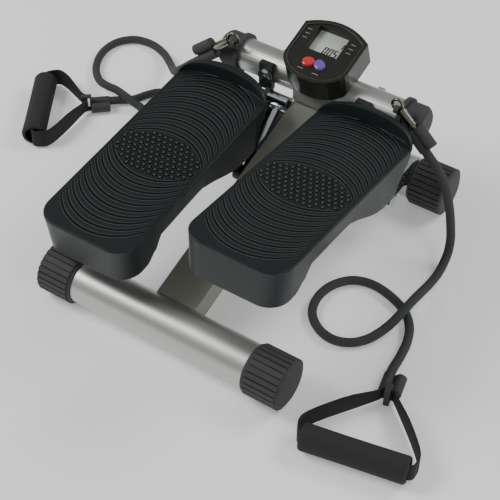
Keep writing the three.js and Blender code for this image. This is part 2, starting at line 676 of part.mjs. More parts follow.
function handleSleeve() {
  const channels = [[-SLEEVE.spread, 0], [SLEEVE.spread, 0]];
  const bores = channels.map(([y, z]) => rod('x', y, z, SLEEVE.bore, -5, 20, 20));
  const loop = cut(
    box(LOOP.from, LOOP.to, -3, 3, LOOP.low, LOOP.high),
    box(LOOP.from + LOOP.bar, LOOP.to - LOOP.bar, -5, 5, LOOP.low + LOOP.bar, LOOP.high - LOOP.bar),
  );
  return cut(union(...channels.map(([y, z]) => rod('x', y, z, SLEEVE.radius, 0, 24, 24)), loop), ...bores);
}

// A closed loop of webbing: round the sleeve's loop, along both sides and through the middle of the grip.
function offsetLoop(path, shift) {
  const count = path.length;
  const area = path.reduce((sum, [x, y], i) => {
    const [nx, ny] = path[(i + 1) % count];
    return sum + (x * ny - nx * y) / 2;
  }, 0);
  const normal = ([ax, ay], [bx, by]) => {
    const length = Math.hypot(bx - ax, by - ay) * Math.sign(area);
    return [(by - ay) / length, -(bx - ax) / length];
  };
  return path.map(([x, y], i) => {
    const n1 = normal(path[(i + count - 1) % count], [x, y]);
    const n2 = normal([x, y], path[(i + 1) % count]);
    const mitre = shift / (1 + n1[0] * n2[0] + n1[1] * n2[1]);
    return [x + (n1[0] + n2[0]) * mitre, y + (n1[1] + n2[1]) * mitre];
  });
}

function handleStrap({ start, along, grip, gripAlong }) {
  const middle = (LOOP.from + LOOP.to) / 2;
  const apex = [start[0] + along[0] * middle, start[1] + along[1] * middle];
  const toward = ([x, y], [dx, dy], distance) => [x + dx * distance, y + dy * distance];
  const across = [-along[1], along[0]];
  const side = Math.sign(across[0] * gripAlong[0] + across[1] * gripAlong[1]);
  const out = [-along[0], -along[1]];
  const reach = GRIP.length / 2 + 6;
  const far = toward(grip, gripAlong, reach);
  const close = toward(grip, gripAlong, -reach);
  const path = [
    toward(apex, across, 9 * side),
    toward(far, out, GRIP.radius + 3),
    far,
    close,
    toward(close, out, GRIP.radius + 3),
    toward(apex, across, -9 * side),
  ];
  const half = STRAP.thickness / 2;
  return cut(
    prism('z', offsetLoop(path, half), STRAP.low, STRAP.high),
    prism('z', offsetLoop(path, -half), STRAP.low - 1, STRAP.high + 1),
  );
}

function foamGrip() {
  const half = GRIP.length / 2;
  return cut(
    union(
      rod('x', 0, 0, GRIP.radius - 0.8, -half, half, 32),
      rod('x', 0, 0, GRIP.radius, -half + 1.5, half - 1.5, 32),
    ),
    rod('x', 0, 0, GRIP.bore, -half - 1, half + 1, 28),
  );
}

for (const [name, handle] of Object.entries(HANDLES)) {
  const sleeve = new THREE.Group();
  sleeve.position.set(handle.start[0], handle.start[1], LOOP.z);
  sleeve.rotation.z = Math.atan2(handle.along[1], handle.along[0]);
  model.add(sleeve);
  place(`${name}_handle_sleeve`, handleSleeve(), BLACK_PLASTIC, sleeve);
  place(`${name}_handle_strap`, handleStrap(handle), WEBBING);
  const grip = new THREE.Group();
  grip.position.set(handle.grip[0], handle.grip[1], GRIP.z);
  grip.rotation.z = Math.atan2(handle.gripAlong[1], handle.gripAlong[0]);
  model.add(grip);
  place(`${name}_grip`, foamGrip(), FOAM, grip);
}

// ---------------------------------------------------------------- resistance bands
// Route points are (x, y, z), chosen by hand, from the hook's sleeve to the handle's sleeve.
const RIGHT_ROUTE = [
  [132.1, 106.2, 153.6], [140.2, 105.3, 146.9], [148.2, 104.4, 140.3], [154, 103.8, 135.3], [164, 103.6, 125],
  [174, 104, 110], [181, 105, 91], [186, 106, 70], [190, 106, 48], [193, 104, 29],
  [194.8, 97, 15.5], [196, 85, 8.2], [197, 71, 5.6], [197.3, 58, 6], [197.5, 44, 8.6], [197.6, 29, 12.4],
  [197.5, 14, 15.6], [197, 0, 16.6], [195.5, -14, 15], [192.2, -29, 10.8], [187.2, -43, 7.2],
  [180, -58, 5.3], [168, -72, 5.3], [150, -79, 5.3], [130, -75, 5.3], [111, -59, 5.3],
  [103.5, -36, 5.3], [107, -11, 5.3], [122, 9, 5.3], [144, 16, 5.3], [171, 11, 5.3], [195, -1, 5.3],
  [209, -17, 5.3], [217, -36, 5.3], [221.3, -58, 5.6],
];
const LEFT_ROUTE = [
  [-132.1, 106.2, 153.6], [-140.2, 105.3, 146.9], [-148.2, 104.4, 140.3], [-154, 103.8, 135.3],
  [-165, 105, 125], [-180, 112, 109], [-198, 126, 89], [-217, 145, 67], [-236, 167, 46], [-256, 190, 27],
  [-278, 213, 13], [-302, 232, 6.5], [-328, 241, 5.3], [-353, 237, 5.3], [-369, 220, 5.3], [-373, 197, 5.3],
  [-367, 173, 5.3], [-354, 152, 5.3], [-336, 137, 6.5], [-316, 128, 12.5], [-298, 124, 16.5],
  [-280, 121.5, 14.5], [-263, 121, 9.5], [-246.5, 121.6, 5.8], [-231, 126, 5.3], [-222.3, 138.5, 5.3],
  [-222.3, 153.7, 5.3], [-232, 165.5, 5.3], [-247, 167.7, 5.3], [-260, 160.3, 5.3], [-269, 147, 5.3],
  [-277.5, 130.8, 5.4],
];
const SLEEVE_DEPTH = 18;

function bandRoute(name, route) {
  // The band sits in the sleeve's near channel, which lies to one side of the sleeve's middle.
  const { start, along } = HANDLES[name];
  const mouth = [start[0] + along[1] * SLEEVE.spread, start[1] - along[0] * SLEEVE.spread];
  const inSleeve = (depth) => [mouth[0] + along[0] * depth, mouth[1] + along[1] * depth, LOOP.z];
  return [...route, inSleeve(-6), inSleeve(SLEEVE_DEPTH / 2), inSleeve(SLEEVE_DEPTH)];
}

function sweptTube(points, radius, sides, steps) {
  const curve = new THREE.CatmullRomCurve3(points.map((p) => new THREE.Vector3(...p)), false, 'centripetal');
  const section = new THREE.Shape(circle(0, 0, radius, sides).map(([a, b]) => new THREE.Vector2(a, b)));
  return solid(new THREE.ExtrudeGeometry(section, { steps, extrudePath: curve, bevelEnabled: false }));
}

place('right_band', sweptTube(bandRoute('right', RIGHT_ROUTE), BAND.radius, BAND.sides, 64), RUBBER);
place('left_band', sweptTube(bandRoute('left', LEFT_ROUTE), BAND.radius, BAND.sides, 64), RUBBER);

export default model;
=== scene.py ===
"""Mini stepper with resistance bands: the visible pieces, built around its frame.

Lengths are metres. +X is the user's right, +Y is towards the toes and +Z is up, with the origin on the floor.
It is laid out as an add-on: sizes and colours are properties, and each group of pieces has its own operator.
"""

import json
import math

import bmesh
import bpy
from mathutils import Matrix, Vector

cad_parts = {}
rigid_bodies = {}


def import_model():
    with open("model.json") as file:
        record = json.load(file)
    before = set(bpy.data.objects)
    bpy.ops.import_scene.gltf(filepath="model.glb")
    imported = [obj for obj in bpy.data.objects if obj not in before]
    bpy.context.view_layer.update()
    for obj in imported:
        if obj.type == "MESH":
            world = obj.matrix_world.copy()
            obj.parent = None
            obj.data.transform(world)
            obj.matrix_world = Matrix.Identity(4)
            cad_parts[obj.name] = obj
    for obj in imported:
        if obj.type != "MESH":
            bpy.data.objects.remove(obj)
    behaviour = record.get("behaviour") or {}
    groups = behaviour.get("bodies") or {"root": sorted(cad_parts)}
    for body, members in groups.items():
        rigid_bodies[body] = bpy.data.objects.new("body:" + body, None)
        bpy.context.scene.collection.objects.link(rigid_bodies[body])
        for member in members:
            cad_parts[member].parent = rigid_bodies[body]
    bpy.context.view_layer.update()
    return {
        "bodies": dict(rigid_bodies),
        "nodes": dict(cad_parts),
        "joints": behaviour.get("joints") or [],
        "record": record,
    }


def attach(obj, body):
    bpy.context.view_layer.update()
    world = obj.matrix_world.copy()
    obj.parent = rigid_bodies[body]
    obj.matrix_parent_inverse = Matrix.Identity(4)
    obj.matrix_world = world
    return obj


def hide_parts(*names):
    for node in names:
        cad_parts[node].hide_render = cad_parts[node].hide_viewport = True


bl_info = {
    "name": "Mini stepper",
    "version": (1, 0, 0),
    "blender": (4, 5, 0),
    "location": "3D View > Sidebar > Stepper",
    "description": "Builds the visible pieces of a mini stepper around its frame",
    "category": "Add Mesh",
}

SIDES = (("left", -1), ("right", 1))

# The right pedal's hinge, the tilt of both pedals at rest, and the counter's own frame.
PIVOT = Vector((0.0866, 0.1, 0.055))
REST_TILT = math.radians(5.2)
CONSOLE = Matrix.Translation((0, 0.13, 0.195)) @ Matrix.Rotation(math.radians(18), 4, "X")

# The base tubes run along X. Bores and radii are measured from the tube's axis.
BASE_ENDS = (("rear", -0.176), ("front", 0.176))
BASE_HEIGHT = 0.02888
BASE_HALF_LENGTH = 0.1467
BASE_RADIUS = 0.025
BASE_WALL = 0.002
CAP_BORE = 0.0253
CAP_PLATE = 0.0085
RIB_HEIGHT = 0.0018

# Innermost and outermost arc of each family on a tread, along the pedal from its pivot.
TOE_ARCS = (-0.1217, -0.0217)
HEEL_ARCS = (-0.1943, -0.2843)
ARC_HALF_WIDTH = 0.0535
DOT_HALF_WIDTH = 0.049
DOT_CLEARANCE = 0.0052

# The radius of the grip's bore, and the height of its axis.
GRIP_BORE = 0.0105
GRIP_HEIGHT = 0.0153

# Along a handle's sleeve from its start: where the strap turns in the loop, and how deep the band goes.
STRAP_TURN = 0.0295
CHANNEL_DEPTH = 0.018

# The band's channel in that sleeve: its shift from the middle, and its height.
CHANNEL_SHIFT = 0.0062
CHANNEL_HEIGHT = 0.007

# The counter's shield shape: an ellipse's lower half, and a low arch over straight sides.
FACE_HALF_WIDTH = 0.0405
FACE_MIDDLE = -0.014
FACE_DROP = 0.028
FACE_SHOULDER = 0.030
FACE_RISE = 0.013

# The loaded frame: its nodes by name, and its record.
FRAME = {}

# Route points of the bands, from the hook's sleeve to the handle's sleeve.
RIGHT_ROUTE = [
    (0.1321, 0.1062, 0.1536), (0.1402, 0.1053, 0.1469), (0.1482, 0.1044, 0.1403), (0.154, 0.1038, 0.1353),
    (0.164, 0.1036, 0.125), (0.174, 0.104, 0.11), (0.181, 0.105, 0.091), (0.186, 0.106, 0.07),
    (0.19, 0.106, 0.048), (0.193, 0.104, 0.029), (0.1948, 0.097, 0.0155), (0.196, 0.085, 0.0082),
    (0.197, 0.071, 0.0056), (0.1973, 0.058, 0.006), (0.1975, 0.044, 0.0086), (0.1976, 0.029, 0.0124),
    (0.1975, 0.014, 0.0156), (0.197, 0, 0.0166), (0.1955, -0.014, 0.015), (0.1922, -0.029, 0.0108),
    (0.1872, -0.043, 0.0072), (0.18, -0.058, 0.0053), (0.168, -0.072, 0.0053), (0.15, -0.079, 0.0053),
    (0.13, -0.075, 0.0053), (0.111, -0.059, 0.0053), (0.1035, -0.036, 0.0053), (0.107, -0.011, 0.0053),
    (0.122, 0.009, 0.0053), (0.144, 0.016, 0.0053), (0.171, 0.011, 0.0053), (0.195, -0.001, 0.0053),
    (0.209, -0.017, 0.0053), (0.217, -0.036, 0.0053), (0.2213, -0.058, 0.0056),
]
LEFT_ROUTE = [
    (-0.1321, 0.1062, 0.1536), (-0.1402, 0.1053, 0.1469), (-0.1482, 0.1044, 0.1403),
    (-0.154, 0.1038, 0.1353), (-0.165, 0.105, 0.125), (-0.18, 0.112, 0.109), (-0.198, 0.126, 0.089),
    (-0.217, 0.145, 0.067), (-0.236, 0.167, 0.046), (-0.256, 0.19, 0.027), (-0.278, 0.213, 0.013),
    (-0.302, 0.232, 0.0065), (-0.328, 0.241, 0.0053), (-0.353, 0.237, 0.0053), (-0.369, 0.22, 0.0053),
    (-0.373, 0.197, 0.0053), (-0.367, 0.173, 0.0053), (-0.354, 0.152, 0.0053), (-0.336, 0.137, 0.0065),
    (-0.316, 0.128, 0.0125), (-0.298, 0.124, 0.0165), (-0.28, 0.1215, 0.0145), (-0.263, 0.121, 0.0095),
    (-0.2465, 0.1216, 0.0058), (-0.231, 0.126, 0.0053), (-0.2223, 0.1385, 0.0053),
    (-0.2223, 0.1537, 0.0053), (-0.232, 0.1655, 0.0053), (-0.247, 0.1677, 0.0053),
    (-0.26, 0.1603, 0.0053), (-0.269, 0.147, 0.0053), (-0.2775, 0.1308, 0.0054),
]

# Seen from above: where each handle's sleeve starts and points, and the middle and direction of its grip.
HANDLES = {
    "right": {
        "start": (0.2315, -0.088), "along": (0.22, -0.976),
        "grip": (0.2485, -0.2035), "axis": (0.98, 0.196),
    },
    "left": {
        "start": (-0.295, 0.106), "along": (-0.75, -0.66),
        "grip": (-0.3575, 0.0425), "axis": (0.522, -0.853),
    },
}


def metres(name, value, description):
    """A size property in metres."""
    return bpy.props.FloatProperty(name=name, description=description, default=value, precision=4)


def colour(name, value):
    """A linear colour property."""
    return bpy.props.FloatVectorProperty(name=name, description=name, subtype="COLOR", size=3, default=value)


class StepperSizes(bpy.types.PropertyGroup):
    """Driving sizes of the visible pieces"""

    cap_radius: metres("Cap radius", 0.029, "Over the end cap's ribs")
    cap_length: metres("Cap length", 0.0445, "Length of a base end cap")
    cap_ribs: bpy.props.IntProperty(name="Cap ribs", description="Ribs round a base end cap", default=26)
    half_width: metres("Half width", 0.1555, "From the middle to a cap's end")
    tread_half: metres("Tread half width", 0.059, "Half the tread's width")
    tread_heel: metres("Heel", -0.2965, "The tread's heel, from the pivot")
    tread_tips: metres("Toe start", -0.037, "Where the toe's arc starts, from the pivot")
    tread_apex: metres("Toe apex", -0.008, "The furthest point of the toe, from the pivot")
    tread_top: metres("Tread height", 0.104, "The tread's top, above the pivot")
    rim_height: metres("Toe rim", 0.015, "Height of the raised rim round the toe")
    groove_pitch: metres("Groove pitch", 0.01, "Spacing of the arcs on the tread")
    groove_radius: metres("Groove radius", 0.065, "Radius of the arcs on the tread")
    dot_pitch: metres("Dot pitch", 0.0074, "Spacing of the raised dots")
    dot_radius: metres("Dot radius", 0.0020, "Radius of a raised dot")
    band_radius: metres("Band radius", 0.0052, "Radius of the rubber tube")
    grip_radius: metres("Grip radius", 0.015, "Radius of the foam grip")
    grip_length: metres("Grip length", 0.112, "Length of the foam grip")


class StepperColours(bpy.types.PropertyGroup):
    """Base colours of the finishes"""

    steel: colour("Satin silver tube", (0.46, 0.49, 0.45))
    olive: colour("Olive paint", (0.23, 0.245, 0.175))
    zinc: colour("Bright zinc", (0.50, 0.56, 0.58))
    hook: colour("Dull plated hook", (0.26, 0.25, 0.20))
    black_steel: colour("Black painted steel", (0.004, 0.0045, 0.004))
    plastic: colour("Black plastic", (0.0035, 0.0037, 0.0028))
    tread: colour("Tread plastic", (0.013, 0.0175, 0.0185))
    rubber: colour("Rubber band", (0.0035, 0.004, 0.0038))
    foam: colour("Foam grip", (0.0022, 0.0022, 0.0022))
    webbing: colour("Webbing", (0.0022, 0.0022, 0.0022))
    console: colour("Console plastic", (0.013, 0.0135, 0.0105))
    lcd: colour("Display", (0.33, 0.42, 0.29))
    board: colour("Circuit board", (0.02, 0.12, 0.05))
    red: colour("Red button", (0.42, 0.003, 0.004))
    violet: colour("Violet button", (0.06, 0.018, 0.25))


# ------------------------------------------------------------------ materials


def finish(
    name, base, roughness, metallic=0.0, grain=900.0, depth=0.05, edge=0.0006, stretch=(1, 1, 1), spread=0.15,
    shine=0.35,
):
    """A finish with fine grain, small changes of tone and gloss, and softened edges."""
    material = bpy.data.materials.new(name)
    material.use_nodes = True
    nodes = material.node_tree.nodes
    link = material.node_tree.links.new
    shader = nodes["Principled BSDF"]
    coords = nodes.new("ShaderNodeTexCoord")
    mapping = nodes.new("ShaderNodeMapping")
    mapping.inputs["Scale"].default_value = stretch
    link(coords.outputs["Object"], mapping.inputs["Vector"])
    fine = nodes.new("ShaderNodeTexNoise")
    fine.inputs["Scale"].default_value = grain
    fine.inputs["Detail"].default_value = 3.0
    broad = nodes.new("ShaderNodeTexNoise")
    broad.inputs["Scale"].default_value = grain * 0.05
    link(mapping.outputs["Vector"], fine.inputs["Vector"])
    link(mapping.outputs["Vector"], broad.inputs["Vector"])
    tone = nodes.new("ShaderNodeMapRange")
    tone.inputs["To Min"].default_value = 1.0 - spread
    tone.inputs["To Max"].default_value = 1.0 + spread
    link(broad.outputs["Fac"], tone.inputs["Value"])
    shade = nodes.new("ShaderNodeVectorMath")
    shade.operation = "SCALE"
    shade.inputs[0].default_value = base
    link(tone.outputs["Result"], shade.inputs["Scale"])
    link(shade.outputs["Vector"], shader.inputs["Base Color"])
    gloss = nodes.new("ShaderNodeMapRange")
    gloss.inputs["To Min"].default_value = roughness * 0.85
    gloss.inputs["To Max"].default_value = min(roughness * 1.15, 1.0)
    link(fine.outputs["Fac"], gloss.inputs["Value"])
    link(gloss.outputs["Result"], shader.inputs["Roughness"])
    shader.inputs["Metallic"].default_value = metallic
    shader.inputs["Specular IOR Level"].default_value = shine
    rounded = nodes.new("ShaderNodeBevel")
    rounded.inputs["Radius"].default_value = edge
    bump = nodes.new("ShaderNodeBump")
    bump.inputs["Strength"].default_value = depth
    bump.inputs["Distance"].default_value = 0.0005
    link(rounded.outputs["Normal"], bump.inputs["Normal"])
    link(fine.outputs["Fac"], bump.inputs["Height"])
    link(bump.outputs["Normal"], shader.inputs["Normal"])
    return material


def chain(tree):
    """A short way to write arithmetic between sockets and plain numbers."""

    def node(operation, *values):
        made = tree.nodes.new("ShaderNodeMath")
        made.operation = operation
        for slot, value in enumerate(values):
            if isinstance(value, (int, float)):
                made.inputs[slot].default_value = value
            else:
                tree.links.new(value, made.inputs[slot])
        return made.outputs[0]

    return node


def arc_distance(node, across, along, sign, family, sizes):
    """Distance to the nearest arc of one family, in pitches: 0 on an arc, and 0.5 where there is none."""
    first, last = family
    radius = sizes.groove_radius
    inside = node("MAXIMUM", node("SUBTRACT", radius * radius, node("MULTIPLY", across, across)), 0.0)
    drop = node("SUBTRACT", radius, node("SQRT", inside))
    level = node("ADD", along, node("MULTIPLY", drop, float(sign)))
    steps = node("DIVIDE", node("SUBTRACT", level, first), sizes.groove_pitch * sign)
    off = node("ABSOLUTE", node("SUBTRACT", steps, node("ROUND", steps)))
    count = (last - first) / (sizes.groove_pitch * sign)
    short = node("GREATER_THAN", steps, -0.4)
    long = node("LESS_THAN", steps, count + 0.4)
    side = node("LESS_THAN", node("ABSOLUTE", across), ARC_HALF_WIDTH)
    present = node("MULTIPLY", node("MULTIPLY", short, long), side)
    return node("SUBTRACT", 0.5, node("MULTIPLY", present, node("SUBTRACT", 0.5, off)))


def tread_finish(name, sign, base, sizes):
    """Tread plastic with arc grooves in its top, drawn in the pedal's own frame, with painted shade in each
    groove and a painted highlight along its lip.
    """
    material = finish(name, base, 0.4, grain=1300.0, depth=0.06, edge=0.0012, spread=0.1, shine=0.24)
    tree = material.node_tree
    nodes = tree.nodes
    link = tree.links.new
    node = chain(tree)
    shader = nodes["Principled BSDF"]
    coords = nodes.new("ShaderNodeTexCoord")
    local = nodes.new("ShaderNodeMapping")
    local.vector_type = "TEXTURE"
    local.inputs["Location"].default_value = (sign * PIVOT.x, PIVOT.y, PIVOT.z)
    local.inputs["Rotation"].default_value = (-sign * REST_TILT, 0, 0)
    link(coords.outputs["Object"], local.inputs["Vector"])
    split = nodes.new("ShaderNodeSeparateXYZ")
    link(local.outputs["Vector"], split.inputs["Vector"])
    across, along, up = split.outputs
    toe = arc_distance(node, across, along, 1, TOE_ARCS, sizes)
    heel = arc_distance(node, across, along, -1, HEEL_ARCS, sizes)
    off = node("MINIMUM", toe, heel)
    level = node("ABSOLUTE", node("SUBTRACT", up, sizes.tread_top))
    flat = node("LESS_THAN", level, 0.0007)
    # A groove is full out to 0.07 of a pitch from its arc and gone by 0.19, with a painted highlight on its
    # lip about 0.2 out.
    ramp = nodes.new("ShaderNodeMapRange")
    ramp.interpolation_type = "SMOOTHSTEP"
    ramp.inputs["From Min"].default_value = 0.07
    ramp.inputs["From Max"].default_value = 0.19
    ramp.inputs["To Min"].default_value = 1.0
    ramp.inputs["To Max"].default_value = 0.0
    link(off, ramp.inputs["Value"])
    groove_and_shade = node("MULTIPLY", ramp.outputs["Result"], flat)
    near = node("LESS_THAN", node("ABSOLUTE", node("SUBTRACT", off, 0.2)), 0.035)
    lip_highlight = node("MULTIPLY", near, flat)
    tone = shader.inputs["Base Color"].links[0].from_socket
    # Painted light in the base colour: the lip mask paints a lighter highlight line, and the groove mask
    # paints near-black shade (the groove is also a real bump).
    for mask, shade in ((lip_highlight, (0.075, 0.085, 0.087, 1)), (groove_and_shade, (0.0006, 0.0006, 0.0006, 1))):
        mix = nodes.new("ShaderNodeMix")
        mix.data_type = "RGBA"
        link(mask, mix.inputs["Factor"])
        link(tone, mix.inputs["A"])
        mix.inputs["B"].default_value = shade
        tone = mix.outputs["Result"]
    link(tone, shader.inputs["Base Color"])
    bump = nodes.new("ShaderNodeBump")
    bump.invert = True
    bump.inputs["Strength"].default_value = 1.0
    bump.inputs["Distance"].default_value = 0.0016
    link(groove_and_shade, bump.inputs["Height"])
    link(shader.inputs["Normal"].links[0].from_socket, bump.inputs["Normal"])
    link(bump.outputs["Normal"], shader.inputs["Normal"])
    return material


def make_finishes(colours):
    """All the finishes that do not depend on a pedal's place."""
    finish(
        "satin_steel", colours.steel, 0.27, metallic=0.9, grain=420, depth=0.12,
        stretch=(0.02, 1, 1), spread=0.3,
    )
    finish("olive_paint", colours.olive, 0.3, metallic=0.6, grain=700, depth=0.03)
    finish("zinc", colours.zinc, 0.18, metallic=1.0, grain=300, depth=0.04, spread=0.3)
    finish("hook_plating", colours.hook, 0.2, metallic=1.0, grain=300, depth=0.04, spread=0.3)
    finish("black_steel", colours.black_steel, 0.3, grain=800, depth=0.04, shine=0.3)
    # Near black for the flat discs that paint the shadow ring round each tread stud.
    finish("stud_shadow_black", (0.0008, 0.0008, 0.0008), 0.8, grain=1500, shine=0.05)
    finish("black_plastic", colours.plastic, 0.34, grain=1500, depth=0.08, shine=0.22)
    finish("console_plastic", colours.console, 0.34, grain=1800, depth=0.06, shine=0.5)
    finish("panel_line", (0.09, 0.09, 0.08), 0.35, grain=1500)
    finish("rubber", colours.rubber, 0.34, grain=600, depth=0.03, shine=0.22)
    finish("foam", colours.foam, 0.9, grain=2200, depth=0.6, shine=0.06)
    finish("webbing", colours.webbing, 0.7, grain=1600, depth=0.5, stretch=(1, 1, 3), shine=0.08)
    finish("lcd_glass", colours.lcd, 0.2, grain=400, depth=0.0, spread=0.04)
    finish("circuit_green", colours.board, 0.45, grain=500)
    finish("red", colours.red, 0.18, grain=500, depth=0.01, spread=0.05, shine=0.4)
    finish("violet", colours.violet, 0.2, grain=500, depth=0.01, spread=0.05, shine=0.4)


def the_material(name):
    """The finish of this name."""
    return bpy.data.materials[name]


# ------------------------------------------------------------------ mesh helpers


def add_object(name, verts, faces, material, sharp=35):
    """A smooth mesh object with sharp edges over the given angle, in degrees."""
    mesh = bpy.data.meshes.new(name)
    mesh.from_pydata([tuple(v) for v in verts], [], faces)
    body = bmesh.new()
    body.from_mesh(mesh)
    bmesh.ops.recalc_face_normals(body, faces=body.faces)
    body.to_mesh(mesh)
    body.free()
    mesh.shade_smooth()
    mesh.set_sharp_from_angle(angle=math.radians(sharp))
    mesh.materials.append(the_material(material))
    made = bpy.data.objects.new(name, mesh)
    bpy.context.collection.objects.link(made)
    return made


def loft(rings, closed=False):
    """Faces between rings of equal length, with flat ends unless the rings close on themselves."""
    count = len(rings[0])
    verts = [v for ring in rings for v in ring]
    faces = []
    last = len(rings) if closed else len(rings) - 1
    for r in range(last):
        here = r * count
        there = ((r + 1) % len(rings)) * count
        for i in range(count):
            j = (i + 1) % count
            faces.append((here + i, here + j, there + j, there + i))
    if not closed:
        faces.append(tuple(range(count)))
        faces.append(tuple(reversed(range((len(rings) - 1) * count, len(rings) * count))))
    return verts, faces


def merge(parts):
    """Several (vertices, faces) lists as one."""
    verts = []
    faces = []
    for part_verts, part_faces in parts:
        start = len(verts)
        verts.extend(part_verts)
        faces.extend(tuple(i + start for i in face) for face in part_faces)
    return verts, faces


def lathe(profile, place, segments=96):
    """Turns a closed (along, radius) profile about the X axis, then puts it in place."""
    rings = []
    for k in range(segments):
        angle = 2 * math.pi * k / segments
        rings.append([place @ Vector((x, r * math.cos(angle), r * math.sin(angle))) for x, r in profile])
    return loft(rings, closed=True)


def tube_profile(half, radius, wall):
    """The section of a plain tube about the X axis."""
    return [(-half, radius - wall), (-half, radius), (half, radius), (half, radius - wall)]


def spline(points, per_span=6):
    """A smooth line through given points (centripetal Catmull-Rom)."""
    points = [Vector(p) for p in points]
    padded = [2 * points[0] - points[1]] + points + [2 * points[-1] - points[-2]]
    line = []
    for i in range(1, len(padded) - 2):
        p0, p1, p2, p3 = padded[i - 1 : i + 3]
        t0 = 0.0
        t1 = t0 + (p1 - p0).length ** 0.5
        t2 = t1 + (p2 - p1).length ** 0.5
        t3 = t2 + (p3 - p2).length ** 0.5
        for k in range(per_span):
            t = t1 + (t2 - t1) * k / per_span
            a1 = p0 * ((t1 - t) / (t1 - t0)) + p1 * ((t - t0) / (t1 - t0))
            a2 = p1 * ((t2 - t) / (t2 - t1)) + p2 * ((t - t1) / (t2 - t1))
            a3 = p2 * ((t3 - t) / (t3 - t2)) + p3 * ((t - t2) / (t3 - t2))
            b1 = a1 * ((t2 - t) / (t2 - t0)) + a2 * ((t - t0) / (t2 - t0))
            b2 = a2 * ((t3 - t) / (t3 - t1)) + a3 * ((t - t1) / (t3 - t1))
            line.append(b1 * ((t2 - t) / (t2 - t1)) + b2 * ((t - t1) / (t2 - t1)))
    line.append(points[-1])
    return line


# ------------------------------------------------------------------ Geometry Nodes


def new_group(name, sockets):
    """A geometry node group with the named inputs, and the identifiers they are set by."""
    group = bpy.data.node_groups.new(name, "GeometryNodeTree")
    group.interface.new_socket("Geometry", in_out="INPUT", socket_type="NodeSocketGeometry")
    group.interface.new_socket("Geometry", in_out="OUTPUT", socket_type="NodeSocketGeometry")
    names = {}
    for label, kind in sockets:
        names[label] = group.interface.new_socket(label, in_out="INPUT", socket_type=kind).identifier
    return group, names


def baked(name, base, group, names, values, material):
    """Runs a node group on a mesh of its own and keeps the result as a plain mesh."""
    source = bpy.data.objects.new(name + "_source", base)
    bpy.context.collection.objects.link(source)
    modifier = source.modifiers.new(name, "NODES")
    modifier.node_group = group
    for label, value in values.items():
        modifier[names[label]] = value
    modifier[names["Material"]] = the_material(material)
    source.update_tag()
    bpy.context.view_layer.update()
    graph = bpy.context.evaluated_depsgraph_get()
    mesh = bpy.data.meshes.new_from_object(source.evaluated_get(graph))
    source.modifiers.remove(modifier)
    bpy.data.objects.remove(source)
    mesh.shade_smooth()
    mesh.set_sharp_from_angle(angle=math.radians(35))
    made = bpy.data.objects.new(name, mesh)
    bpy.context.collection.objects.link(made)
    return made


def rib_group():
    """Bars set round a ring about the X axis."""
    group, names = new_group("Cap ribs", [
        ("Count", "NodeSocketInt"), ("Radius", "NodeSocketFloat"), ("Size", "NodeSocketVector"),
        ("Middle", "NodeSocketVector"), ("Material", "NodeSocketMaterial"),
    ])
    nodes = group.nodes
    link = group.links.new
    start = nodes.new("NodeGroupInput")
    end = nodes.new("NodeGroupOutput")
    points = nodes.new("GeometryNodePoints")
    link(start.outputs["Count"], points.inputs["Count"])
    index = nodes.new("GeometryNodeInputIndex")
    step = nodes.new("ShaderNodeMath")
    step.operation = "DIVIDE"
    step.inputs[0].default_value = 2 * math.pi
    link(start.outputs["Count"], step.inputs[1])
    angle = nodes.new("ShaderNodeMath")
    angle.operation = "MULTIPLY_ADD"
    link(index.outputs["Index"], angle.inputs[0])
    link(step.outputs[0], angle.inputs[1])
    angle.inputs[2].default_value = -math.pi / 2
    place = nodes.new("ShaderNodeCombineXYZ")
    for operation, socket in (("COSINE", "Y"), ("SINE", "Z")):
        part = nodes.new("ShaderNodeMath")
        part.operation = operation
        link(angle.outputs[0], part.inputs[0])
        scaled = nodes.new("ShaderNodeMath")
        scaled.operation = "MULTIPLY"
        link(part.outputs[0], scaled.inputs[0])
        link(start.outputs["Radius"], scaled.inputs[1])
        link(scaled.outputs[0], place.inputs[socket])
    shifted = nodes.new("ShaderNodeVectorMath")
    shifted.operation = "ADD"
    link(place.outputs[0], shifted.inputs[0])
    link(start.outputs["Middle"], shifted.inputs[1])
    link(shifted.outputs[0], points.inputs["Position"])
    turn = nodes.new("ShaderNodeCombineXYZ")
    link(angle.outputs[0], turn.inputs["X"])
    bar = nodes.new("GeometryNodeMeshCube")
    link(start.outputs["Size"], bar.inputs["Size"])
    spread = nodes.new("GeometryNodeInstanceOnPoints")
    link(points.outputs["Points"], spread.inputs["Points"])
    link(bar.outputs["Mesh"], spread.inputs["Instance"])
    link(turn.outputs[0], spread.inputs["Rotation"])
    return finish_group(group, names, start, spread, end)


def dot_group():
    """Flattened spheres on the vertices of the mesh that it is given: raised studs, or flat discs of painted
    shadow under them.
    """
    group, names = new_group("Tread dots", [
        ("Radius", "NodeSocketFloat"), ("Scale", "NodeSocketVector"), ("Tilt", "NodeSocketVector"),
        ("Material", "NodeSocketMaterial"),
    ])
    nodes = group.nodes
    link = group.links.new
    start = nodes.new("NodeGroupInput")
    end = nodes.new("NodeGroupOutput")
    stud = nodes.new("GeometryNodeMeshUVSphere")
    stud.inputs["Segments"].default_value = 16
    stud.inputs["Rings"].default_value = 8
    link(start.outputs["Radius"], stud.inputs["Radius"])
    spread = nodes.new("GeometryNodeInstanceOnPoints")
    link(start.outputs["Geometry"], spread.inputs["Points"])
    link(stud.outputs["Mesh"], spread.inputs["Instance"])
    link(start.outputs["Tilt"], spread.inputs["Rotation"])
    link(start.outputs["Scale"], spread.inputs["Scale"])
    return finish_group(group, names, start, spread, end)


def finish_group(group, names, start, spread, end):
    """Every group ends with real geometry that has its material."""
    realize = group.nodes.new("GeometryNodeRealizeInstances")
    paint = group.nodes.new("GeometryNodeSetMaterial")
    group.links.new(spread.outputs["Instances"], realize.inputs["Geometry"])
    group.links.new(realize.outputs["Geometry"], paint.inputs["Geometry"])
    group.links.new(start.outputs["Material"], paint.inputs["Material"])
    group.links.new(paint.outputs["Geometry"], end.inputs["Geometry"])
    return group, names


# ------------------------------------------------------------------ base


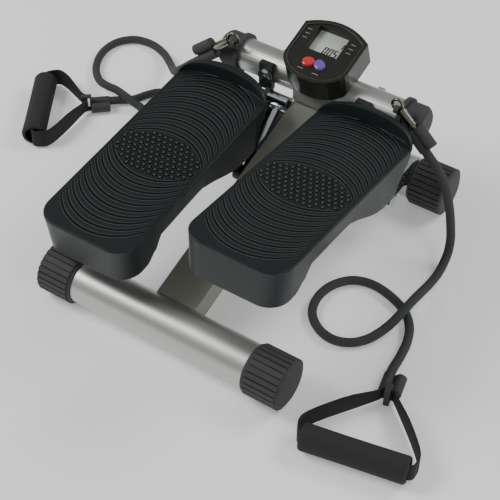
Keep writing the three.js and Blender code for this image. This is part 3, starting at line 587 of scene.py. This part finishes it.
def end_cap(name, sign, y, sizes):
    """One base end cap: a dark core with a domed end, and its ribs."""
    inner = sizes.half_width - sizes.cap_length
    outer = sizes.half_width
    radius = sizes.cap_radius
    core = radius - RIB_HEIGHT
    profile = [
        (inner, CAP_BORE), (inner, core - 0.0006), (inner + 0.0012, core), (outer - 0.003, core),
        (outer - 0.0012, core - 0.0008), (outer - 0.0002, core - 0.0024), (outer, core - 0.005), (outer, 0.0),
        (outer - CAP_PLATE, 0.0), (outer - CAP_PLATE, CAP_BORE),
    ]
    place = Matrix.Translation((0, y, BASE_HEIGHT)) @ Matrix.Diagonal((sign, 1, 1, 1))
    body = add_object(name + "_core", *lathe(profile, place, 104), "black_plastic")
    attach(body, "frame")
    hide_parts(name)
    group, names = rib_group()
    pitch = 2 * math.pi * radius / sizes.cap_ribs
    length = sizes.cap_length - 0.0055
    base = bpy.data.meshes.new(name + "_points")
    values = {
        "Count": sizes.cap_ribs,
        "Radius": core + 0.0001,
        "Size": (length, 0.0032, pitch * 0.76),
        "Middle": (sign * (inner + 0.0035 + length / 2), y, BASE_HEIGHT),
    }
    ribs = baked(name + "_ribs", base, group, names, values, "black_plastic")
    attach(ribs, "frame")


class STEPPER_OT_base(bpy.types.Operator):
    """Round tubes and ribbed end caps of the base"""

    bl_idname = "stepper.base"
    bl_label = "Base tubes and caps"

    def execute(self, context):
        sizes = context.scene.stepper_sizes
        profile = tube_profile(BASE_HALF_LENGTH, BASE_RADIUS, BASE_WALL)
        for end, y in BASE_ENDS:
            name = end + "_base_tube"
            place = Matrix.Translation((0, y, BASE_HEIGHT))
            tube = add_object(name + "_skin", *lathe(profile, place), "satin_steel")
            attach(tube, "frame")
            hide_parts(name)
            for side, sign in SIDES:
                end_cap(f"{end}_{side}_cap", sign, y, sizes)
        return {"FINISHED"}


# ------------------------------------------------------------------ treads


def tread_outline(sizes, corner=0.025):
    """The tread seen from above, from the right heel corner round the toe to the left one."""
    half = sizes.tread_half
    heel = sizes.tread_heel + corner
    points = []
    for i in range(11):
        angle = -math.pi / 2 + i * math.pi / 20
        points.append((half - corner + corner * math.cos(angle), heel + corner * math.sin(angle)))
    steps = 44
    points += [(half, heel + (sizes.tread_tips - heel) * i / steps) for i in range(1, steps)]
    for i in range(49):
        angle = i * math.pi / 48
        points.append((
            half * math.cos(angle),
            sizes.tread_tips + (sizes.tread_apex - sizes.tread_tips) * math.sin(angle),
        ))
    side = points[: 10 + steps]
    return points + [(-x, y) for x, y in reversed(side)]


# Places along the pedal from its pivot, each with the skirt's depth there below the tread's top.
SKIRT = [
    (-0.297, 0.047), (-0.262, 0.047), (-0.246, 0.038), (-0.234, 0.025), (-0.165, 0.024), (-0.075, 0.052),
    (-0.056, 0.052), (-0.046, 0.034), (-0.037, 0.022), (0.0, 0.022),
]


def skirt_depth(y):
    """The skirt's depth, eased between the points of its table."""
    for (y0, d0), (y1, d1) in zip(SKIRT, SKIRT[1:]):
        if y <= y1:
            share = min(max((y - y0) / (y1 - y0), 0), 1)
            share = share * share * (3 - 2 * share)
            return d0 + (d1 - d0) * share
    return SKIRT[-1][1]


def inset(point, distance):
    """A point of the tread's outline, drawn in towards the middle."""
    x, y = point
    reach = math.hypot(x, (y + 0.15) * 0.4)
    along = 1 if y > -0.15 else -1
    return x - distance * x / reach, y - distance * 0.8 * along


def tread_shell(sizes, place):
    """The tread and its skirt, from the underside out and over the rounded edge."""
    outline = tread_outline(sizes)
    top = sizes.tread_top

    def ring(distance, height):
        return [place @ Vector((*inset(p, distance), height(p))) for p in outline]

    def under(p):
        return top - skirt_depth(p[1])

    return loft([
        ring(0.0070, lambda p: top - 0.004),
        ring(0.0062, under),
        ring(0.0032, under),
        ring(0.0024, lambda p: under(p) + 0.0012),
        ring(0.0003, lambda p: top - 0.0022),
        ring(0.0000, lambda p: top - 0.0016),
        ring(0.0002, lambda p: top - 0.0008),
        ring(0.0008, lambda p: top - 0.0002),
        ring(0.0016, lambda p: top),
        ring(0.0030, lambda p: top),
    ])


def toe_rim(sizes, place):
    """A crescent wall round the toe that dies away at both tips."""
    steps = 64
    rings = []
    for i in range(steps + 1):
        angle = i * math.pi / steps
        rise = max(math.sin(angle), 0.04) ** 0.8
        height = sizes.rim_height * rise
        centre_y = sizes.tread_tips
        reach = sizes.tread_apex - centre_y
        outer = Vector((sizes.tread_half * math.cos(angle), centre_y + reach * math.sin(angle)))
        inner = Vector((
            (sizes.tread_half - 0.002) * math.cos(angle),
            centre_y + (reach - 0.013) * math.sin(angle),
        ))
        span = inner - outer
        top = sizes.tread_top
        profile = [
            (0.02, top - 0.002), (0.03, top + height * 0.5), (0.1, top + height * 0.86), (0.25, top + height),
            (0.9, top + height + 0.0018 * rise), (0.97, top + height + 0.0016 * rise), (1.0, top + height),
            (1.0, top - 0.002),
        ]
        rings.append([place @ Vector((*(outer + span * share), z)) for share, z in profile])
    return loft(rings)


def dot_points(sizes, place):
    """Points of the dotted oval between the two families of arcs, in staggered rows."""
    pitch = sizes.dot_pitch
    radius = sizes.groove_radius
    toe, heel = TOE_ARCS[0], HEEL_ARCS[0]
    points = []
    for row in range(-6, 7):
        y = (toe + heel) / 2 + row * pitch * 0.87
        for column in range(-8, 9):
            x = (column + 0.5 * (row % 2)) * pitch
            bulge = radius - math.sqrt(max(radius * radius - x * x, 0))
            reach = bulge + DOT_CLEARANCE
            if abs(x) < DOT_HALF_WIDTH and heel + reach < y < toe - reach:
                points.append(place @ Vector((x, y, sizes.tread_top)))
    return points


class STEPPER_OT_treads(bpy.types.Operator):
    """Grooved treads with their toe rims and dots, and painted shadow discs round the dots"""

    bl_idname = "stepper.treads"
    bl_label = "Treads"

    def execute(self, context):
        sizes = context.scene.stepper_sizes
        for side, sign in SIDES:
            body = side + "_pedal"
            tread_finish(side + "_tread", sign, context.scene.stepper_colours.tread, sizes)
            place = Matrix.Translation((sign * PIVOT.x, PIVOT.y, PIVOT.z))
            place = place @ Matrix.Rotation(-sign * REST_TILT, 4, "X")
            shell = merge([tread_shell(sizes, place), toe_rim(sizes, place)])
            tread = add_object(side + "_tread_skin", *shell, side + "_tread", sharp=32)
            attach(tread, body)
            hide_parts(side + "_tread")
            points = dot_points(sizes, place)
            base = bpy.data.meshes.new(side + "_dot_points")
            base.from_pydata(points, [], [])
            group, names = dot_group()
            tilt = (-sign * REST_TILT, 0, 0)
            values = {"Radius": sizes.dot_radius, "Scale": (1, 1, 0.6), "Tilt": tilt}
            dots = baked(side + "_tread_dots", base, group, names, values, "black_plastic")
            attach(dots, body)
            # A wider, nearly flat near-black disc under each stud is painted shadow: the dark ring round it.
            stud_shadow_base = bpy.data.meshes.new(side + "_stud_shadow_points")
            stud_shadow_base.from_pydata(points, [], [])
            values = {"Radius": sizes.dot_radius * 1.5, "Scale": (1, 1, 0.05), "Tilt": tilt}
            stud_shadows = baked(side + "_tread_pits", stud_shadow_base, group, names, values, "stud_shadow_black")
            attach(stud_shadows, body)
        return {"FINISHED"}


# ------------------------------------------------------------------ console

# Lit strokes of a seven-segment figure.
SEGMENTS = {"0": "abcdef", "1": "bc", "5": "afgcd"}


def slab(x0, x1, y0, y1, z0, z1, lean=0.0):
    """A box in the console's frame, leaning to the right as it goes up the display."""
    corners = [(x0, y0), (x1, y0), (x1, y1), (x0, y1)]
    rings = [[CONSOLE @ Vector((x + lean * y, y, z)) for x, y in corners] for z in (z0, z1)]
    return loft(rings)


def face_outline(margin, height):
    """The counter's shield shape, drawn in from its edge: a half ellipse below and a low arch on top."""
    half = FACE_HALF_WIDTH - margin
    points = []
    for i in range(33):
        angle = math.pi + math.pi * i / 32
        points.append((half * math.cos(angle), FACE_MIDDLE + (FACE_DROP - margin) * math.sin(angle)))
    for i in range(25):
        t = 1 - 2 * i / 24
        points.append((half * t, FACE_SHOULDER - margin + FACE_RISE * (1 - t * t)))
    return [CONSOLE @ Vector((x, y, height)) for x, y in points]


def digit(text, x, y, width, height, bar):
    """One figure of the display, just above its panel."""
    half = height / 2
    strokes = {
        "a": (0, width, height - bar, height), "d": (0, width, 0, bar),
        "g": (0, width, half - bar / 2, half + bar / 2),
        "f": (0, bar, half, height), "e": (0, bar, 0, half),
        "b": (width - bar, width, half, height), "c": (width - bar, width, 0, half),
    }
    parts = []
    for stroke in SEGMENTS[text]:
        x0, x1, y0, y1 = strokes[stroke]
        parts.append(slab(x + x0, x + x1, y + y0 + 0.0003, y + y1 - 0.0003, -0.0079, -0.0077, lean=0.12))
    return parts


def petal(centre, length, width, turn, height):
    """A lens-shaped button cap with a rounded top."""
    place = CONSOLE @ Matrix.Translation((*centre, 0)) @ Matrix.Rotation(turn, 4, "Z")
    rings = []
    crown = ((-0.2, 1.0), (0.5, 1.0), (0.8, 0.93), (0.95, 0.78), (1.0, 0.5))
    for level, share in crown:
        ring = []
        for i in range(40):
            angle = 2 * math.pi * i / 40
            pinch = abs(math.sin(angle)) ** 0.75 * math.copysign(1, math.sin(angle))
            across = length / 2 * share * math.cos(angle)
            ring.append(place @ Vector((across, width / 2 * share * pinch, height * level)))
        rings.append(ring)
    return loft(rings)


class STEPPER_OT_console(bpy.types.Operator):
    """Digits, printed marks and buttons of the counter"""

    bl_idname = "stepper.console"
    bl_label = "Counter"

    def execute(self, context):
        digits = []
        for i, text in enumerate("005"):
            digits += digit(text, -0.0066 + i * 0.0063, 0.0026, 0.0050, 0.0108, 0.0016)
        digits += digit("1", 0.0068, 0.0165, 0.0042, 0.0078, 0.0014)
        display = add_object("display_digits", *merge(digits), "black_steel")
        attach(display, "frame")
        marks = []
        for x in (-0.0302, 0.0262):
            for row in range(3):
                y = 0.0095 + 0.0062 * row
                marks.append(slab(x - 0.0028, x + 0.0028, y, y + 0.0008, 0.0006, 0.0008))
        marks.append(slab(-0.016, -0.009, -0.0295, -0.0287, 0.0006, 0.0008))
        marks.append(slab(0.003, 0.011, -0.0305, -0.0297, 0.0006, 0.0008))
        frame_line = loft([
            face_outline(0.0036, 0.0016), face_outline(0.0036, 0.0019),
            face_outline(0.0042, 0.0019), face_outline(0.0042, 0.0016),
        ], closed=True)
        border = add_object("panel_line", *frame_line, "panel_line")
        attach(border, "frame")
        printed = add_object("console_marks", *merge(marks), "satin_steel")
        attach(printed, "frame")
        for name, centre, turn in (("red", (-0.008, -0.019), 0.35), ("violet", (0.006, -0.018), -0.5)):
            place = CONSOLE @ Matrix.Translation((*centre, 0)) @ Matrix.Rotation(-math.pi / 2, 4, "Y")
            stem = lathe([(-0.0075, 0.0), (-0.0075, 0.006), (0.001, 0.006), (0.001, 0.0)], place, 48)
            cap = petal(centre, 0.0142, 0.0122, turn, 0.0042)
            button = add_object(name + "_button_cap", *merge([stem, cap]), name)
            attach(button, name + "_button")
            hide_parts(name + "_button")
        return {"FINISHED"}


# ------------------------------------------------------------------ bands and handles


def band_route(side, chosen):
    """The chosen points, and three more that follow the band's channel into the handle's sleeve."""
    (x, y), (dx, dy) = HANDLES[side]["start"], HANDLES[side]["along"]
    x, y = x + dy * CHANNEL_SHIFT, y - dx * CHANNEL_SHIFT
    depths = (-0.006, CHANNEL_DEPTH / 2, CHANNEL_DEPTH)
    return chosen + [(x + dx * depth, y + dy * depth, CHANNEL_HEIGHT) for depth in depths]


def band_curve(name, route, radius):
    """A round rubber tube along its route, and its length."""
    line = spline(route)
    curve = bpy.data.curves.new(name, "CURVE")
    curve.dimensions = "3D"
    path = curve.splines.new("POLY")
    path.points.add(len(line) - 1)
    for point, where in zip(path.points, line):
        point.co = (*where, 1)
    curve.bevel_depth = radius
    curve.bevel_resolution = 6
    curve.use_fill_caps = True
    curve.materials.append(the_material("rubber"))
    made = bpy.data.objects.new(name, curve)
    bpy.context.collection.objects.link(made)
    return made, sum((b - a).length for a, b in zip(line, line[1:]))


def strap(name, handle, sizes):
    """Webbing from the sleeve's loop to both ends of the grip, and through its middle."""
    start, along = Vector(handle["start"]), Vector(handle["along"])
    grip, axis = Vector(handle["grip"]), Vector(handle["axis"])
    across = Vector((-along.y, along.x))
    side = 1 if across.dot(axis) > 0 else -1
    apex = start + along * STRAP_TURN
    reach = sizes.grip_length / 2 + 0.0055
    far, close = grip + axis * reach, grip - axis * reach
    out = -along * (sizes.grip_radius + 0.003)
    corners = [
        apex, apex + across * 0.006 * side, apex + across * 0.0092 * side + along * 0.004,
        far + out, far + out * 0.3, far - axis * 0.003, grip,
        close + axis * 0.003, close + out * 0.3, close + out,
        apex - across * 0.0092 * side + along * 0.004, apex - across * 0.006 * side,
    ]
    line = spline([Vector((*c, 0)) for c in corners] + [Vector((*apex, 0))], 8)[:-1]
    rings = []
    for i, here in enumerate(line):
        before, after = line[i - 1], line[(i + 1) % len(line)]
        way = (after - before).normalized()
        normal = Vector((-way.y, way.x, 0))
        free = min(max(((here - Vector((*apex, 0))).length - 0.012) / 0.03, 0.0), 1.0)
        # The webbing spreads out from the narrow loop to its full width.
        low = 0.0035 - 0.0012 * free
        high = 0.0195 + 0.0060 * free
        section = [
            (-0.0008, low), (0.0008, low), (0.0011, low + 0.0012), (0.0011, high - 0.0012),
            (0.0008, high), (-0.0008, high), (-0.0011, high - 0.0012), (-0.0011, low + 0.0012),
        ]
        rings.append([here + normal * shift + Vector((0, 0, z)) for shift, z in section])
    return add_object(name, *loft(rings, closed=True), "webbing")


def foam_grip(name, handle, sizes):
    """A foam sleeve with soft rounded ends and a slight waist."""
    half = sizes.grip_length / 2
    radius = sizes.grip_radius
    outside = []
    for i in range(25):
        t = 2 * i / 24 - 1
        waist = 0.0003 * (1 - t * t)
        outside.append((t * (half - 0.003), radius - 0.0002 - waist))
    profile = [(-half, GRIP_BORE), (-half, radius - 0.0025), (-half + 0.0008, radius - 0.0011)] + outside
    profile += [(half - 0.0008, radius - 0.0011), (half, radius - 0.0025), (half, GRIP_BORE)]
    turn = math.atan2(handle["axis"][1], handle["axis"][0])
    place = Matrix.Translation((*handle["grip"], GRIP_HEIGHT)) @ Matrix.Rotation(turn, 4, "Z")
    return add_object(name, *lathe(profile, place, 72), "foam", sharp=60)


class STEPPER_OT_bands(bpy.types.Operator):
    """Resistance bands with their straps and foam grips"""

    bl_idname = "stepper.bands"
    bl_label = "Bands and handles"

    def execute(self, context):
        sizes = context.scene.stepper_sizes
        for side, chosen in (("left", LEFT_ROUTE), ("right", RIGHT_ROUTE)):
            handle = HANDLES[side]
            route = band_route(side, chosen)
            webbing = strap(side + "_strap_webbing", handle, sizes)
            grip = foam_grip(side + "_grip_foam", handle, sizes)
            band, length = band_curve(side + "_band_tube", route, sizes.band_radius)
            for piece, node, slot in (
                (webbing, side + "_handle_strap", "webbing"),
                (grip, side + "_grip", "foam"),
                (band, side + "_band", "rubber"),
            ):
                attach(piece, "frame")
                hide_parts(node)
        return {"FINISHED"}


# ------------------------------------------------------------------ finishes of the frame's own pieces


class STEPPER_OT_finishes(bpy.types.Operator):
    """Procedural finishes for every piece that is shown as it was built"""

    bl_idname = "stepper.finishes"
    bl_label = "Finishes"

    def execute(self, context):
        slots = {part["node"]: part["material_slot"] for part in FRAME["record"]["subparts"]}
        special = {
            "console_housing": "console_plastic",
            "console_face": "console_plastic",
            "battery_cover": "console_plastic",
            "left_snap_hook": "hook_plating",
            "right_snap_hook": "hook_plating",
            "left_tread": "black_plastic",
            "right_tread": "black_plastic",
        }
        for name, node in FRAME["nodes"].items():
            material = special.get(name, slots[name])
            if not node.material_slots:
                node.data.materials.append(the_material(material))
            for slot in node.material_slots:
                slot.material = the_material(material)
        return {"FINISHED"}


# ------------------------------------------------------------------ camera, floor and light


def area_light(name, place, aim, size, power):
    """A soft rectangular light that faces a point."""
    light = bpy.data.lights.new(name, "AREA")
    light.shape = "RECTANGLE"
    light.size, light.size_y = size
    light.energy = power
    made = bpy.data.objects.new(name, light)
    made.location = place
    made.rotation_euler = (Vector(aim) - Vector(place)).to_track_quat("-Z", "Y").to_euler()
    bpy.context.collection.objects.link(made)
    return made


class STEPPER_OT_stage(bpy.types.Operator):
    """Camera, pale floor and soft studio light"""

    bl_idname = "stepper.stage"
    bl_label = "Stage"

    def execute(self, context):
        camera = bpy.data.cameras.new("camera")
        camera.lens = 97.2
        camera.sensor_width = 36
        holder = bpy.data.objects.new("camera", camera)
        azimuth, elevation = math.radians(33.0), math.radians(44.7)
        back = Vector((
            math.sin(azimuth) * math.cos(elevation),
            -math.cos(azimuth) * math.cos(elevation),
            math.sin(elevation),
        ))
        turn = back.to_track_quat("Z", "Y").to_matrix().to_4x4()
        target = Vector((0.0134, -0.0352, 0.0293))
        distance = 1.513
        roll = math.radians(0.7)
        stand = Matrix.Translation(target + back * distance)
        holder.matrix_world = stand @ turn @ Matrix.Rotation(roll, 4, "Z")
        bpy.context.collection.objects.link(holder)
        context.scene.camera = holder
        mesh = bpy.data.meshes.new("floor")
        mesh.from_pydata([(-30, -30, 0), (30, -30, 0), (30, 30, 0), (-30, 30, 0)], [], [(0, 1, 2, 3)])
        pale = finish("floor", (0.93, 0.93, 0.93), 0.8, grain=20, depth=0.0, spread=0.0)
        shader = pale.node_tree.nodes["Principled BSDF"]
        shader.inputs["Emission Color"].default_value = (1, 1, 1, 1)
        shader.inputs["Emission Strength"].default_value = 0.22
        mesh.materials.append(pale)
        floor = bpy.data.objects.new("floor", mesh)
        floor.location.z = -0.0004
        bpy.context.collection.objects.link(floor)
        area_light("key", (-1.3, -0.7, 1.5), (0, 0, 0.05), (0.9, 0.9), 25)
        area_light("back", (0.9, 1.2, 1.5), (0, 0, 0.05), (1.0, 0.6), 15)
        area_light("side", (1.6, -0.6, 0.8), (0, 0, 0.08), (0.5, 1.0), 7)
        world = bpy.data.worlds.new("studio")
        world.use_nodes = True
        background = world.node_tree.nodes["Background"]
        background.inputs["Color"].default_value = (1, 1, 1, 1)
        background.inputs["Strength"].default_value = 0.3
        context.scene.world = world
        return {"FINISHED"}


class STEPPER_PT_panel(bpy.types.Panel):
    """The stepper's sizes, colours and build steps"""

    bl_label = "Mini stepper"
    bl_idname = "STEPPER_PT_panel"
    bl_space_type = "VIEW_3D"
    bl_region_type = "UI"
    bl_category = "Stepper"

    def draw(self, context):
        for group in (context.scene.stepper_sizes, context.scene.stepper_colours):
            box = self.layout.box()
            for name in group.__annotations__:
                box.prop(group, name)
        for step in STEPS:
            self.layout.operator(step.bl_idname)


STEPS = (
    STEPPER_OT_stage,
    STEPPER_OT_bands,
    STEPPER_OT_base,
    STEPPER_OT_treads,
    STEPPER_OT_console,
    STEPPER_OT_finishes,
)
CLASSES = (StepperSizes, StepperColours, *STEPS, STEPPER_PT_panel)


def register():
    for made in CLASSES:
        bpy.utils.register_class(made)
    bpy.types.Scene.stepper_sizes = bpy.props.PointerProperty(type=StepperSizes)
    bpy.types.Scene.stepper_colours = bpy.props.PointerProperty(type=StepperColours)


def unregister():
    del bpy.types.Scene.stepper_colours
    del bpy.types.Scene.stepper_sizes
    for made in reversed(CLASSES):
        bpy.utils.unregister_class(made)


def main():
    FRAME.update(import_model())
    register()
    make_finishes(bpy.context.scene.stepper_colours)
    bpy.ops.stepper.stage()
    bpy.ops.stepper.bands()
    bpy.ops.stepper.base()
    bpy.ops.stepper.treads()
    bpy.ops.stepper.console()
    bpy.ops.stepper.finishes()


if __name__ == "__main__":
    main()
